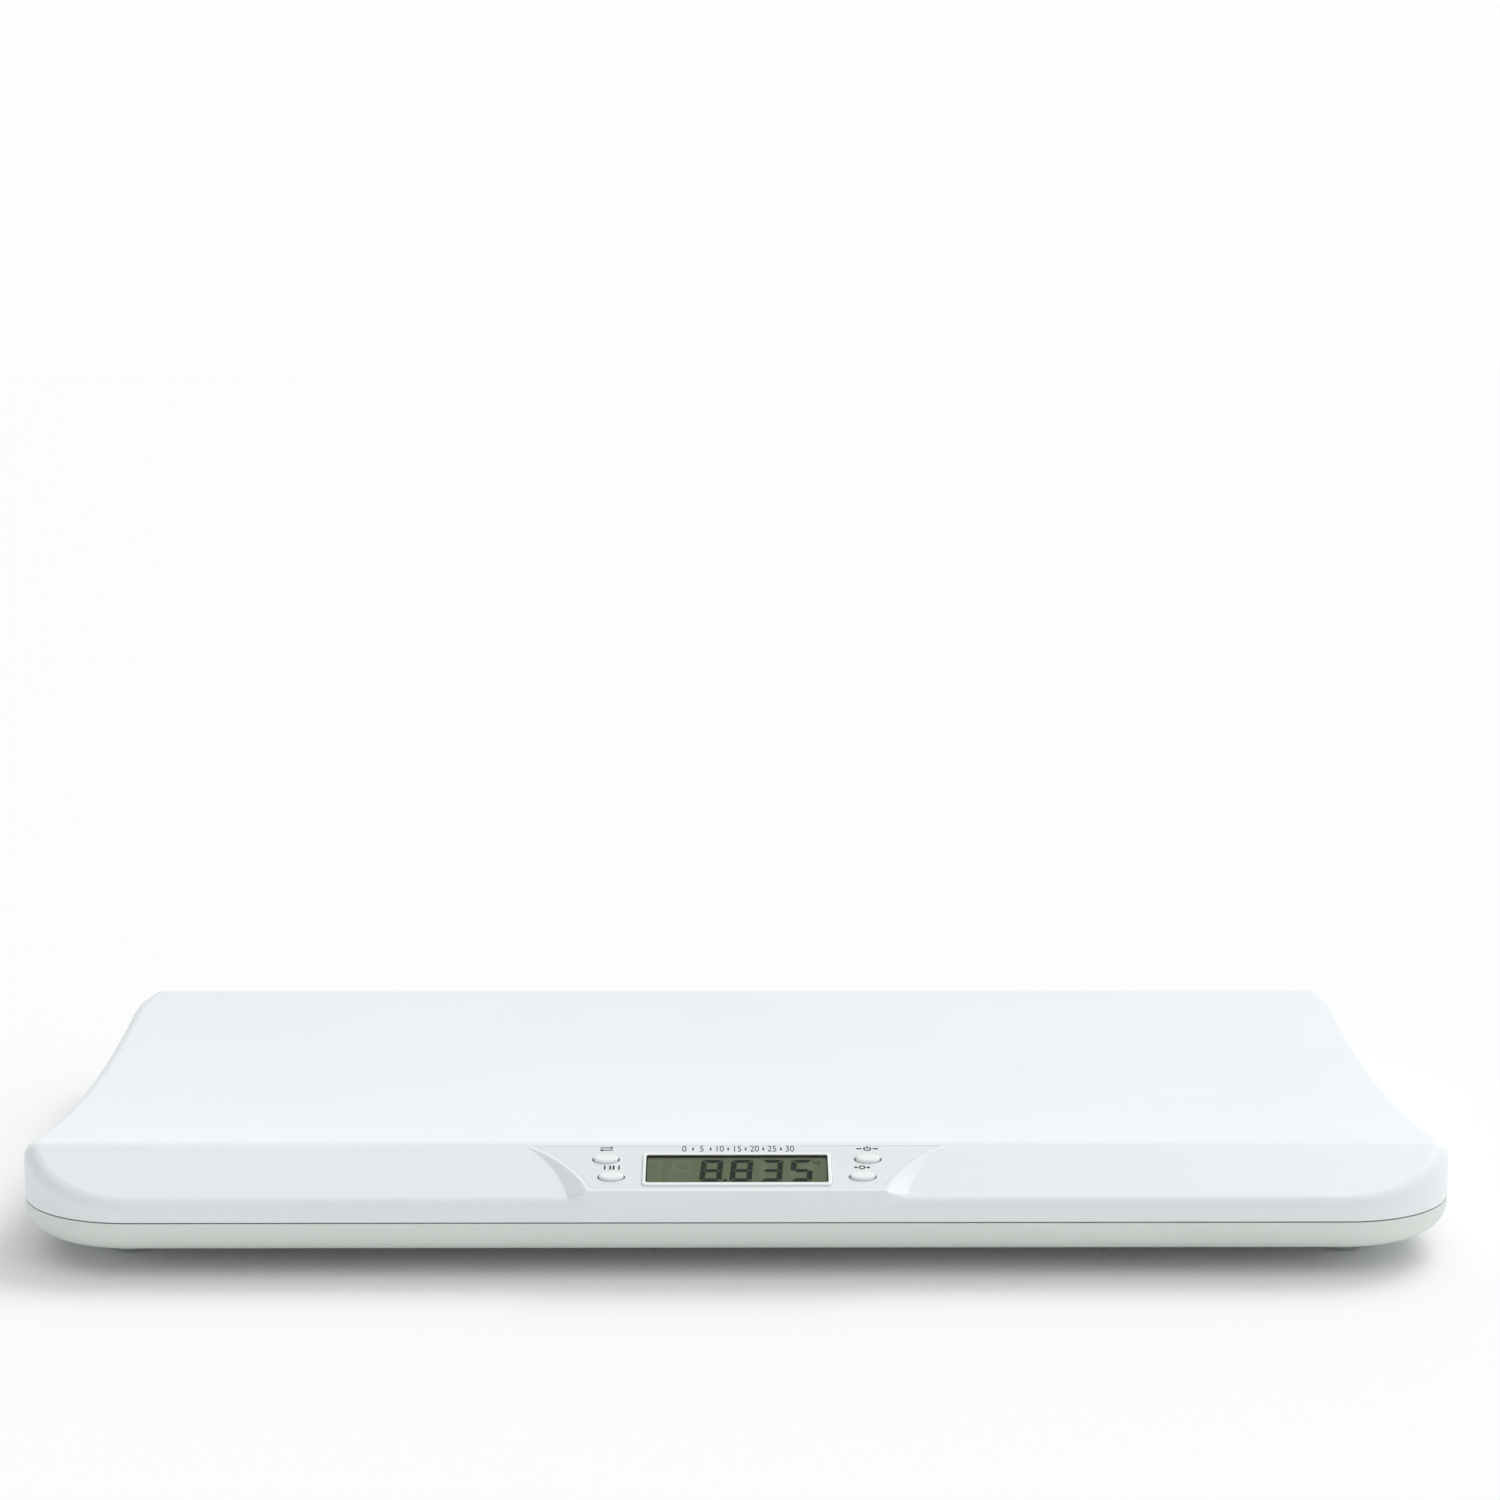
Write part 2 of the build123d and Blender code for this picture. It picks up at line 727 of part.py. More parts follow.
with BuildPart() as base_shell:
    with BuildSketch(Plane.XY.offset(base_bottom)):
        body_plan(0)
    extrude(amount=base_top - base_bottom)
    fillet(faces().sort_by(Axis.Z)[0].edges(), base_rounding)
    add(base_cavity.part, mode=Mode.SUBTRACT)
    add(base_inside.part)
    # Thickened rim and the tongue that closes the seam from inside
    with BuildSketch(Plane.XY.offset(base_top - rim_band_height)):
        body_plan(rim_band_inset)
        body_plan(lip_inset + lip_thickness, mode=Mode.SUBTRACT)
    extrude(amount=rim_band_height)
    with BuildSketch(Plane.XY.offset(base_top)):
        body_plan(lip_inset)
        body_plan(lip_inset + lip_thickness, mode=Mode.SUBTRACT)
    extrude(amount=lip_height)
    # Battery bay with the ledge around its door
    with BuildSketch(Plane.XY.offset(base_bottom)):
        with Locations((0, bay_y)):
            Rectangle(door_length + 2 * door_ledge, door_width + 2 * door_ledge)
    extrude(amount=bay_block_top - base_bottom)
    with BuildSketch(Plane.XY.offset(base_bottom)):
        with Locations((0, bay_y)):
            Rectangle(bay_length + 2 * bay_wall, bay_width + 2 * bay_wall)
    extrude(amount=bay_ceiling + bay_roof - base_bottom)
    with BuildSketch(Plane.XY.offset(base_bottom)):
        with Locations((0, bay_y)):
            Rectangle(door_length + 2 * door_gap, door_width + 2 * door_gap)
    extrude(amount=door_thickness + door_gap, mode=Mode.SUBTRACT)
    with BuildSketch(Plane.XY.offset(base_bottom)):
        with Locations((0, bay_y)):
            Rectangle(bay_length, bay_width)
    extrude(amount=bay_ceiling - base_bottom, mode=Mode.SUBTRACT)
    with BuildSketch(Plane.YZ):
        with Locations((hinge_y, hinge_z)):
            Circle(hinge_bore_radius)
    extrude(amount=door_length / 2 + hinge_bore_length, both=True, mode=Mode.SUBTRACT)
    # Latch notch and finger scoop at the door's free edge
    door_edge_y = bay_y - door_width / 2
    with BuildSketch(Plane.XY.offset(base_bottom + door_thickness)):
        with Locations((0, door_edge_y + latch_thickness)):
            Rectangle(latch_notch_length, 2 * latch_thickness + door_gap)
    extrude(amount=latch_notch_height, mode=Mode.SUBTRACT)
    with BuildSketch(Plane.XY.offset(base_bottom)):
        with Locations((0, door_edge_y)):
            Circle(scoop_radius)
    extrude(amount=scoop_depth, taper=scoop_slope, mode=Mode.SUBTRACT)
    # Foot openings, screw counterbores and screw holes
    with BuildSketch(Plane.XY.offset(base_bottom)):
        with Locations(*foot_places):
            Circle(foot_radius + foot_clearance)
    extrude(amount=base_top - base_bottom, mode=Mode.SUBTRACT)
    with BuildSketch(Plane.XY.offset(base_bottom)):
        with Locations(*body_posts):
            Circle(body_screw_bore)
    extrude(amount=body_screw_seat - base_bottom, mode=Mode.SUBTRACT)
    with BuildSketch(Plane.XY.offset(base_bottom)):
        with Locations(*body_posts):
            Circle(body_screw_hole)
    extrude(amount=base_top, mode=Mode.SUBTRACT)
    with BuildSketch(Plane.XY.offset(cell_bottom)):
        with Locations(*cell_posts):
            Circle(small_pilot)
    extrude(amount=-small_pilot_depth, mode=Mode.SUBTRACT)
base_shell.part.label = "base_shell"
export_step(base_shell.part, "parts/base_shell.step")

# Battery door: its hinge edge is a full round about the pins, its free edge has a latch tongue
with BuildPart() as battery_door:
    with BuildSketch(Plane.XY.offset(base_bottom)):
        with Locations((0, (door_edge_y + hinge_y) / 2)):
            Rectangle(door_length, hinge_y - door_edge_y)
    extrude(amount=door_thickness)
    with BuildSketch(Plane.YZ):
        with Locations((hinge_y, hinge_z)):
            Circle(door_thickness / 2)
    extrude(amount=door_length / 2, both=True)
    with BuildSketch(Plane.YZ):
        with Locations((hinge_y, hinge_z)):
            Circle(hinge_pin_radius)
    extrude(amount=door_length / 2 + hinge_pin_length, both=True)
    with BuildSketch(Plane.XY.offset(base_bottom + door_thickness)):
        with Locations((0, door_edge_y + latch_thickness)):
            Rectangle(latch_length, latch_thickness)
    extrude(amount=latch_height)
    with BuildSketch(Plane.XY.offset(base_bottom)):
        with Locations((0, door_edge_y + grip_place)):
            with GridLocations(0, grip_pitch, 1, grip_count):
                SlotOverall(grip_length, grip_width)
    extrude(amount=grip_depth, mode=Mode.SUBTRACT)
battery_door.part.label = "battery_door"
export_step(battery_door.part, "parts/battery_door.step")

# Batteries side by side, every other one turned end for end
battery_z = base_bottom + door_thickness + door_gap + battery_lift + battery_radius
battery_lanes = [
    ((index - (battery_count - 1) / 2) * battery_pitch, 1 - 2 * (index % 2))
    for index in range(battery_count)
]
with BuildPart() as batteries:
    for x, turn in battery_lanes:
        tip_y = bay_y + turn * (bay_width / 2 - contact_thickness)
        lane = Plane(origin=(x, tip_y, battery_z), x_dir=(1, 0, 0), z_dir=(0, -turn, 0))
        with BuildSketch(lane.offset(battery_tip_length)):
            Circle(battery_radius)
        extrude(amount=battery_height - battery_tip_length)
        with BuildSketch(lane):
            Circle(battery_tip_radius)
        extrude(amount=battery_tip_length)
    round_edges = edges().filter_by(GeomType.CIRCLE)
    chamfer(round_edges.filter_by(lambda edge: edge.radius > battery_tip_radius + 1), battery_bevel)
batteries.part.label = "batteries"
export_step(batteries.part, "parts/batteries.step")

# Contact plates: two bridges at the front, one bridge and two end plates at the rear
with BuildPart() as contact_plates:
    end_lane = battery_lanes[-1][0]
    for end, lanes, plate_length in (
        (-1, (-battery_pitch, battery_pitch), bridge_plate_length),
        (1, (0.0,), bridge_plate_length),
        (1, (-end_lane, end_lane), end_plate_length),
    ):
        plate_y = bay_y + end * (bay_width / 2 - contact_thickness / 2)
        for x in lanes:
            with Locations((x, plate_y, battery_z)):
                Box(plate_length, contact_thickness, contact_height)
contact_plates.part.label = "contact_plates"
export_step(contact_plates.part, "parts/contact_plates.step")

# Contact springs between the plates and the flat ends of the batteries
spring_room = bay_width - 2 * contact_thickness - battery_height
with BuildPart() as contact_springs:
    for x, turn in battery_lanes:
        start_y = bay_y - turn * (bay_width / 2 - contact_thickness - spring_wire)
        with BuildLine() as coil:
            Helix(
                pitch=spring_pitch,
                height=spring_room - 2 * spring_wire,
                radius=spring_radius,
                center=(x, start_y, battery_z),
                direction=(0, turn, 0),
            )
        with BuildSketch(Plane(origin=coil.line @ 0, z_dir=coil.line % 0)):
            Circle(spring_wire)
        sweep(path=coil.line)
contact_springs.part.label = "contact_springs"
export_step(contact_springs.part, "parts/contact_springs.step")

# Corners: load cell plate with a sprung tongue, its strain gauge, foot, pad and wires
board_exit = board_back.offset(-header_height)
for corner, (side, end) in corners.items():
    foot = (side * foot_x, end * foot_y)
    with BuildPart() as load_cell:
        with BuildSketch(Plane.XY.offset(cell_bottom)):
            with Locations(foot):
                RectangleRounded(cell_size, cell_size, cell_corner)
                with Locations((0, end * cell_opening_shift)):
                    Rectangle(*cell_opening, mode=Mode.SUBTRACT)
                with Locations((0, -end * cell_tongue_shift)):
                    Rectangle(*cell_tongue)
                Circle(cell_tongue_hole, mode=Mode.SUBTRACT)
                with GridLocations(2 * cell_hole, 2 * cell_hole, 2, 2):
                    Circle(cell_screw_hole, mode=Mode.SUBTRACT)
        extrude(amount=cell_thickness)
    load_cell.part.label = f"load_cell_{corner}"
    export_step(load_cell.part, f"parts/load_cell_{corner}.step")

    with BuildPart() as foot_cup:
        with BuildSketch(Plane.XY.offset(foot_bottom)):
            with Locations(foot):
                Circle(foot_radius)
        extrude(amount=foot_shoulder - foot_bottom)
        fillet(edges().sort_by(Axis.Z)[0], foot_rounding)
        with BuildSketch(Plane.XY.offset(foot_shoulder)):
            with Locations(foot):
                Circle(foot_neck_radius)
        extrude(amount=cell_bottom - foot_shoulder)
        with BuildSketch(Plane.XY.offset(foot_bottom)):
            with Locations(foot):
                Circle(pad_radius + slip)
        extrude(amount=pad_thickness - foot_bottom, mode=Mode.SUBTRACT)
        with BuildSketch(Plane.XY.offset(cell_bottom)):
            with Locations(foot):
                Circle(foot_pilot)
        extrude(amount=-foot_pilot_depth, mode=Mode.SUBTRACT)
    foot_cup.part.label = f"foot_{corner}"
    export_step(foot_cup.part, f"parts/foot_{corner}.step")

    with BuildPart() as foot_pad:
        with BuildSketch(Plane.XY):
            with Locations(foot):
                Circle(pad_radius)
        extrude(amount=pad_thickness)
        fillet(edges().sort_by(Axis.Z)[0], pad_rounding)
    foot_pad.part.label = f"foot_pad_{corner}"
    export_step(foot_pad.part, f"parts/foot_pad_{corner}.step")

with BuildPart() as strain_gauges:
    with BuildSketch(Plane.XY.offset(cell_top)):
        for side, end in corners.values():
            with Locations((side * foot_x, end * (foot_y - gauge_shift))):
                RectangleRounded(*gauge_size, gauge_corner)
    extrude(amount=gauge_thickness)
strain_gauges.part.label = "strain_gauges"
export_step(strain_gauges.part, "parts/strain_gauges.step")

# Screws
with BuildPart() as body_screws:
    add_screws(Plane.XY.offset(body_screw_seat), body_posts, *body_screw)
body_screws.part.label = "body_screws"
export_step(body_screws.part, "parts/body_screws.step")

downwards = Plane(origin=(0, 0, cell_top), x_dir=(1, 0, 0), z_dir=(0, 0, -1))
with BuildPart() as cell_screws:
    add_screws(downwards, cell_posts, *cell_screw)
cell_screws.part.label = "cell_screws"
export_step(cell_screws.part, "parts/cell_screws.step")

with BuildPart() as foot_screws:
    add_screws(downwards, foot_places, *foot_screw)
foot_screws.part.label = "foot_screws"
export_step(foot_screws.part, "parts/foot_screws.step")

with BuildPart() as board_screws:
    add_screws(board_back, pcb_posts, *board_screw)
board_screws.part.label = "board_screws"
export_step(board_screws.part, "parts/board_screws.step")

# Wires: each leaves its header square to the board, drops onto the base ribs and runs to its end
wire_run_z = base_rib_top + wire_radius + 0.2
wire_cell_z = cell_top + wire_radius + 0.1


def header_exit(x):
    """The first two points of a wire: on its header's face and straight out from it."""
    start = board_exit.from_local_coords(Vector(x, -header_slope, 0))
    drop = board_exit.from_local_coords(Vector(x, -header_slope, -header_drop))
    return [tuple(start), tuple(drop)]


for corner, (side, end) in corners.items():
    if end < 0:
        header_x = side * header_places[4]
        bends = front_wire_bends
    else:
        header_x = side * header_places[3]
        bends = rear_wire_bends
    route = header_exit(header_x)
    route += [(side * x, y, wire_run_z) for x, y in bends]
    route.append((side * foot_x, end * (foot_y - wire_cell_approach), wire_cell_z))
    route.append((side * foot_x, end * (foot_y - wire_cell_end), wire_cell_z))
    with BuildPart() as cell_wire:
        sweep_wire(route, wire_radius)
    cell_wire.part.label = f"wire_{corner}"
    export_step(cell_wire.part, f"parts/wire_{corner}.step")

bay_front = bay_y - bay_width / 2 - bay_wall
lead_route = header_exit(header_places[2])
lead_route += [
    (3, -104, wire_run_z),
    (-2, -58, wire_run_z),
    (0, -14, wire_run_z + lead_lift),
    (0, bay_front, wire_run_z + lead_lift),
]
with BuildPart() as battery_lead:
    sweep_wire(lead_route, lead_radius)
battery_lead.part.label = "battery_lead"
export_step(battery_lead.part, "parts/battery_lead.step")

# Blank rating label on the underside
with BuildPart() as rating_label:
    with BuildSketch(Plane.XY.offset(base_bottom)):
        with Locations((label_x, bay_y)):
            RectangleRounded(label_length, label_width, label_corner)
    extrude(amount=-label_thickness)
rating_label.part.label = "rating_label"
export_step(rating_label.part, "parts/rating_label.step")
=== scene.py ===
import json
import math

import bmesh
import bpy
from mathutils import Matrix, Vector


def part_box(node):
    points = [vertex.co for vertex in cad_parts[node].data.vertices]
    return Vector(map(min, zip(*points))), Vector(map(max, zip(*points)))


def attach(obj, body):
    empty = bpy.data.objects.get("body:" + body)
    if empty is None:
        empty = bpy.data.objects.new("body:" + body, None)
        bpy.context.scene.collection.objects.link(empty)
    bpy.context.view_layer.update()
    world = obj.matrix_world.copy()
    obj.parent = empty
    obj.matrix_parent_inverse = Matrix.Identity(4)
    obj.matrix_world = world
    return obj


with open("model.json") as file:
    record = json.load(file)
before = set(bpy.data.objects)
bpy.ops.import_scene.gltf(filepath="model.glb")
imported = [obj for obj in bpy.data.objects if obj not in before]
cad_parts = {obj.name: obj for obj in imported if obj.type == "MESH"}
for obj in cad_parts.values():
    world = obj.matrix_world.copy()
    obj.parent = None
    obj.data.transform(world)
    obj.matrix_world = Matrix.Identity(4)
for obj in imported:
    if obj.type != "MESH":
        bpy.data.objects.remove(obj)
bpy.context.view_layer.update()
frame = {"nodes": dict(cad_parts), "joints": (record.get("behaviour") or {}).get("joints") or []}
nodes = frame["nodes"]

# ---------------------------------------------------------------------------------------------
# Places, in metres, worked out from the frame
# ---------------------------------------------------------------------------------------------
MM = 0.001
PLATFORM = "platform"
press_axis = next(Vector(j["axis"]) for j in frame["joints"] if j["name"] == "unit_key_press")
PANEL_NORMAL = -press_axis.normalized()
PANEL_RIGHT = Vector((1, 0, 0))
PANEL_UP = PANEL_NORMAL.cross(PANEL_RIGHT).normalized()


def turned(right, up, normal):
    """The turn from flat coordinates to three given directions."""
    return Matrix((right, up, normal)).transposed().to_4x4()


PANEL = turned(PANEL_RIGHT, PANEL_UP, PANEL_NORMAL)
UNDERSIDE = turned(Vector((-1, 0, 0)), Vector((0, 1, 0)), Vector((0, 0, -1)))


def span(node, direction):
    """Lowest and highest measure of a CAD node along a direction."""
    reach = [vertex.co.dot(direction) for vertex in nodes[node].data.vertices]
    return min(reach), max(reach)


def middle(node, direction):
    """Middle of a CAD node along a direction."""
    return sum(span(node, direction)) / 2


# ---------------------------------------------------------------------------------------------
# Camera, light and floor
# ---------------------------------------------------------------------------------------------
KEY_DIRECTION = Vector((0.42, 0.52, 0.74)).normalized()
KEY_STRENGTH = 1.0
KEY_SPREAD = math.radians(32)
HORIZON_LIGHT = 1.0
HORIZON_BAND = (0.08, 0.3)
SKY_COLOUR = (0.985, 0.995, 1.0, 1)
FILL_LIGHT = 0.57
FILL_SLANT = 0.22
GLOW_LIGHT = 0.46
FLOOR_REACH = 9.0
FLOOR_TONE = 0.93
LENS = 75.6
SENSOR_WIDTH = 36.0
CAMERA_PLACE = (0.0, -1.291, 0.381)
CAMERA_TURN = (math.radians(81.0), 0.0, math.radians(-0.245))


def link(thing):
    """Put an object in the scene."""
    bpy.context.scene.collection.objects.link(thing)
    return thing


def add_camera():
    """A camera in front of the console, a little above the tray, looking slightly down."""
    data = bpy.data.cameras.new("camera")
    data.lens = LENS
    data.sensor_width = SENSOR_WIDTH
    data.clip_end = 2 * FLOOR_REACH
    camera = link(bpy.data.objects.new("camera", data))
    camera.location = CAMERA_PLACE
    camera.rotation_euler = CAMERA_TURN
    bpy.context.scene.camera = camera


def add_key_light():
    """A broad soft light from the right and the back."""
    data = bpy.data.lights.new("key_light", "SUN")
    data.energy = KEY_STRENGTH
    data.angle = KEY_SPREAD
    light = link(bpy.data.objects.new("key_light", data))
    light.rotation_euler = KEY_DIRECTION.to_track_quat("Z", "Y").to_euler()


def add_floor():
    """A wide pale floor."""
    mesh = bpy.data.meshes.new("floor")
    corners = [(FLOOR_REACH * x, FLOOR_REACH * y, 0) for x, y in ((-1, -1), (1, -1), (1, 1), (-1, 1))]
    mesh.from_pydata(corners, [], [(0, 1, 2, 3)])
    floor = link(bpy.data.objects.new("floor", mesh))
    material = bpy.data.materials.new("floor")
    material.use_nodes = True
    shader = material.node_tree.nodes["Principled BSDF"]
    shader.inputs["Base Color"].default_value = (FLOOR_TONE, FLOOR_TONE, FLOOR_TONE, 1)
    shader.inputs["Roughness"].default_value = 0.9
    shader.inputs["Specular IOR Level"].default_value = 0.1
    mesh.materials.append(material)


def add_world():
    """Pale surroundings: even at the horizon, then brightest on the key light's side."""
    world = bpy.data.worlds.new("world")
    world.use_nodes = True
    tree = world.node_tree
    background = tree.nodes["Background"]
    way = tree.nodes.new("ShaderNodeTexCoord").outputs["Generated"]

    def strength_along(direction, low, high, at_low, at_high):
        """Light that grows along a direction from one share to another."""
        along = tree.nodes.new("ShaderNodeVectorMath")
        along.operation = "DOT_PRODUCT"
        along.inputs[1].default_value = direction
        tree.links.new(way, along.inputs[0])
        ramp = tree.nodes.new("ShaderNodeMapRange")
        ends = {"From Min": low, "From Max": high, "To Min": at_low, "To Max": at_high}
        for name, value in ends.items():
            ramp.inputs[name].default_value = value
        tree.links.new(along.outputs["Value"], ramp.inputs["Value"])
        return ramp.outputs[0]

    fill = strength_along((1, 0, 0), -1, 1, FILL_LIGHT - FILL_SLANT, FILL_LIGHT + FILL_SLANT)
    glow = strength_along(KEY_DIRECTION, 0, 1, 0, GLOW_LIGHT)
    dome = tree.nodes.new("ShaderNodeMath")
    tree.links.new(fill, dome.inputs[0])
    tree.links.new(glow, dome.inputs[1])
    above = strength_along((0, 0, 1), *HORIZON_BAND, 0, 1)
    sky = tree.nodes.new("ShaderNodeMix")
    tree.links.new(above, sky.inputs[0])
    sky.inputs[2].default_value = HORIZON_LIGHT
    tree.links.new(dome.outputs[0], sky.inputs[3])
    tree.links.new(sky.outputs[0], background.inputs["Strength"])
    background.inputs["Color"].default_value = SKY_COLOUR
    bpy.context.scene.world = world


# ---------------------------------------------------------------------------------------------
# Materials
# ---------------------------------------------------------------------------------------------
class Finish:
    """A procedural material, built up one effect at a time."""

    def __init__(self, name, colour, roughness, **values):
        self.material = bpy.data.materials.new(name)
        self.material.use_nodes = True
        self.tree = self.material.node_tree
        self.shader = self.tree.nodes["Principled BSDF"]
        self.place = self.node("ShaderNodeTexCoord").outputs["Object"]
        self.colour = (*colour, 1)
        self.roughness = roughness
        self.bump = None
        for name, value in values.items():
            self.shader.inputs[name].default_value = value

    def node(self, kind, values=None, **settings):
        """A shader node with its settings and its input values or links."""
        made = self.tree.nodes.new(kind)
        for key, value in settings.items():
            setattr(made, key, value)
        for key, value in (values or {}).items():
            if isinstance(value, bpy.types.NodeSocket):
                self.tree.links.new(value, made.inputs[key])
            else:
                made.inputs[key].default_value = value
        return made

    def stretched(self, scale):
        """Object coordinates scaled along each axis."""
        return self.node("ShaderNodeMapping", {"Vector": self.place, "Scale": scale}).outputs[0]

    def noise(self, size, detail=2.0, place=None, rough=0.5):
        """Noise with features of a given size in metres, from 0 to 1."""
        values = {"Vector": place or self.place, "Scale": 1 / size, "Detail": detail, "Roughness": rough}
        return self.node("ShaderNodeTexNoise", values).outputs["Fac"]

    def map(self, value, low, high, to_low=0.0, to_high=1.0):
        """A value carried from one range to another."""
        values = {"Value": value, "From Min": low, "From Max": high, "To Min": to_low, "To Max": to_high}
        return self.node("ShaderNodeMapRange", values).outputs[0]

    def maths(self, operation, first, second=0.0):
        """Two numbers joined by an operation."""
        return self.node("ShaderNodeMath", {0: first, 1: second}, operation=operation).outputs[0]

    def mix(self, share, first, second):
        """One colour blended into another."""
        made = self.node("ShaderNodeMix", data_type="RGBA")
        for key, value in ((0, share), (6, first), (7, second)):
            if isinstance(value, bpy.types.NodeSocket):
                self.tree.links.new(value, made.inputs[key])
            else:
                made.inputs[key].default_value = (*value, 1)[:4] if key else value
        return made.outputs[2]

    def edges(self, radius):
        """1 along edges and 0 on open faces."""
        bevel = self.node("ShaderNodeBevel", {"Radius": radius}, samples=6).outputs["Normal"]
        normal = self.node("ShaderNodeNewGeometry").outputs["Normal"]
        values = {0: bevel, 1: normal}
        likeness = self.node("ShaderNodeVectorMath", values, operation="DOT_PRODUCT").outputs["Value"]
        return self.map(likeness, 0.93, 0.995, 1.0, 0.0)

    def shaded_hollows(self, reach):
        """1 in grooves and corners where shade falls, 0 in the open; it is used to paint shade into
        colours.
        """
        shade = self.node("ShaderNodeAmbientOcclusion", {"Distance": reach}, samples=6).outputs["AO"]
        return self.map(shade, 0.25, 0.8, 1.0, 0.0)

    def tint(self, share, colour):
        """Blend a colour in where a mask says."""
        self.colour = self.mix(share, self.colour, (*colour, 1))

    def gloss(self, mask, low, high):
        """Vary the roughness with a mask."""
        self.roughness = self.map(mask, 0.0, 1.0, low, high)

    def relief(self, height, depth):
        """Raise the surface by a height pattern, whose full depth is in metres."""
        values = {"Height": height, "Distance": depth, "Strength": 1.0}
        if self.bump:
            values["Normal"] = self.bump
        self.bump = self.node("ShaderNodeBump", values).outputs[0]

    def done(self):
        """Join the effects to the shader."""
        for name, value in (("Base Color", self.colour), ("Roughness", self.roughness)):
            if isinstance(value, bpy.types.NodeSocket):
                self.tree.links.new(value, self.shader.inputs[name])
            else:
                self.shader.inputs[name].default_value = value
        if self.bump:
            self.tree.links.new(self.bump, self.shader.inputs["Normal"])
        return self.material


NO_GLARE = {"Specular IOR Level": 0.06}
# Greys laid into grooves and corners by the occlusion mask: partly dust, partly painted shade.
DUST_AND_SHADE = (0.42, 0.43, 0.40)
FILM_DUST_AND_SHADE = (0.40, 0.41, 0.40)


def darker(colour, share):
    """A colour with its brightness cut by a share."""
    return tuple(channel * (1 - share) for channel in colour)


def lighter(colour, gain, lift):
    """A colour multiplied and then lifted, no brighter than white."""
    return tuple(min(1.0, channel * gain + lift) for channel in colour)


def moulded(name, colour, roughness=0.42, grain=0.7 * MM, depth=0.012 * MM, edge_wear_and_highlight=0.5, dust_and_shade=0.25):
    """Moulded plastic: fine mould grain, a cloudy shade, uneven gloss, rubbed edges lightened partly as
    a painted highlight, and grooves darkened partly by dust and partly as painted shade.
    """
    finish = Finish(name, colour, roughness, IOR=1.52)
    cloud = finish.noise(70 * MM, 3.0)
    finish.tint(finish.map(cloud, 0.35, 0.7), darker(colour, 0.022))
    # Grooves and corners found by the occlusion mask are darkened: partly dust, partly painted shade.
    if dust_and_shade:
        finish.tint(finish.maths("MULTIPLY", finish.shaded_hollows(2.5 * MM), dust_and_shade), DUST_AND_SHADE)
    patches = finish.noise(14 * MM, 4.0, rough=0.6)
    finish.gloss(patches, roughness - 0.09, roughness + 0.09)
    # Edges get a lighter colour in patches and a lower roughness: partly wear, partly a painted
    # highlight along the edges.
    if edge_wear_and_highlight:
        edge_patches = finish.map(finish.noise(2.2 * MM, 3.0), 0.42, 0.62)
        rubbed_and_highlit = finish.maths("MULTIPLY", finish.edges(0.8 * MM), edge_patches)
        worn_and_highlit = finish.maths("MULTIPLY", rubbed_and_highlit, edge_wear_and_highlight)
        finish.tint(finish.maths("MULTIPLY", worn_and_highlit, 0.35), lighter(colour, 1.06, 0.02))
        polish = finish.maths("MULTIPLY", worn_and_highlit, 0.16)
        finish.roughness = finish.maths("SUBTRACT", finish.roughness, polish)
    finish.relief(finish.noise(grain, 2.0), depth)
    return finish.done()


def film(name, colour):
    """Satin printed film with a very fine even texture."""
    finish = Finish(name, colour, 0.36, IOR=1.55)
    finish.tint(finish.map(finish.noise(24 * MM, 2.0), 0.4, 0.7), darker(colour, 0.018))
    # Recesses found by the occlusion mask are darkened: partly dust, partly painted shade.
    finish.tint(finish.maths("MULTIPLY", finish.shaded_hollows(1.2 * MM), 0.12), FILM_DUST_AND_SHADE)
    finish.gloss(finish.noise(9 * MM, 4.0), 0.28, 0.44)
    finish.relief(finish.noise(0.35 * MM, 1.0), 0.006 * MM)
    return finish.done()


def liquid_crystal(name, colour):
    """Reflective display glass: a nearly even grey under a matt polariser."""
    finish = Finish(name, colour, 0.5, **NO_GLARE)
    finish.tint(finish.map(finish.noise(30 * MM, 1.0), 0.3, 0.7), darker(colour, 0.05))
    finish.gloss(finish.noise(5 * MM, 2.0), 0.42, 0.58)
    finish.relief(finish.noise(0.25 * MM, 1.0), 0.003 * MM)
    return finish.done()


def ink(name, colour, roughness=0.5):
    """Printed or driven marks with a slightly uneven edge of tone."""
    finish = Finish(name, colour, roughness, **NO_GLARE)
    finish.tint(finish.map(finish.noise(0.8 * MM, 2.0), 0.35, 0.7), lighter(colour, 1.35, 0.006))
    finish.gloss(finish.noise(1.5 * MM, 2.0), roughness - 0.08, roughness + 0.08)
    finish.relief(finish.noise(0.3 * MM, 1.0), 0.004 * MM)
    return finish.done()


def clear_window(name):
    """Thin clear acrylic with a faint reflection and fine wiping marks."""
    values = {"IOR": 1.49, "Alpha": 0.1, "Specular IOR Level": 0.2}
    finish = Finish(name, (0.04, 0.04, 0.04), 0.1, **values)
    wipes = finish.noise(0.5 * MM, 3.0, finish.stretched((0.06, 1.0, 1.0)))
    finish.gloss(wipes, 0.06, 0.2)
    finish.relief(wipes, 0.002 * MM)
    return finish.done()


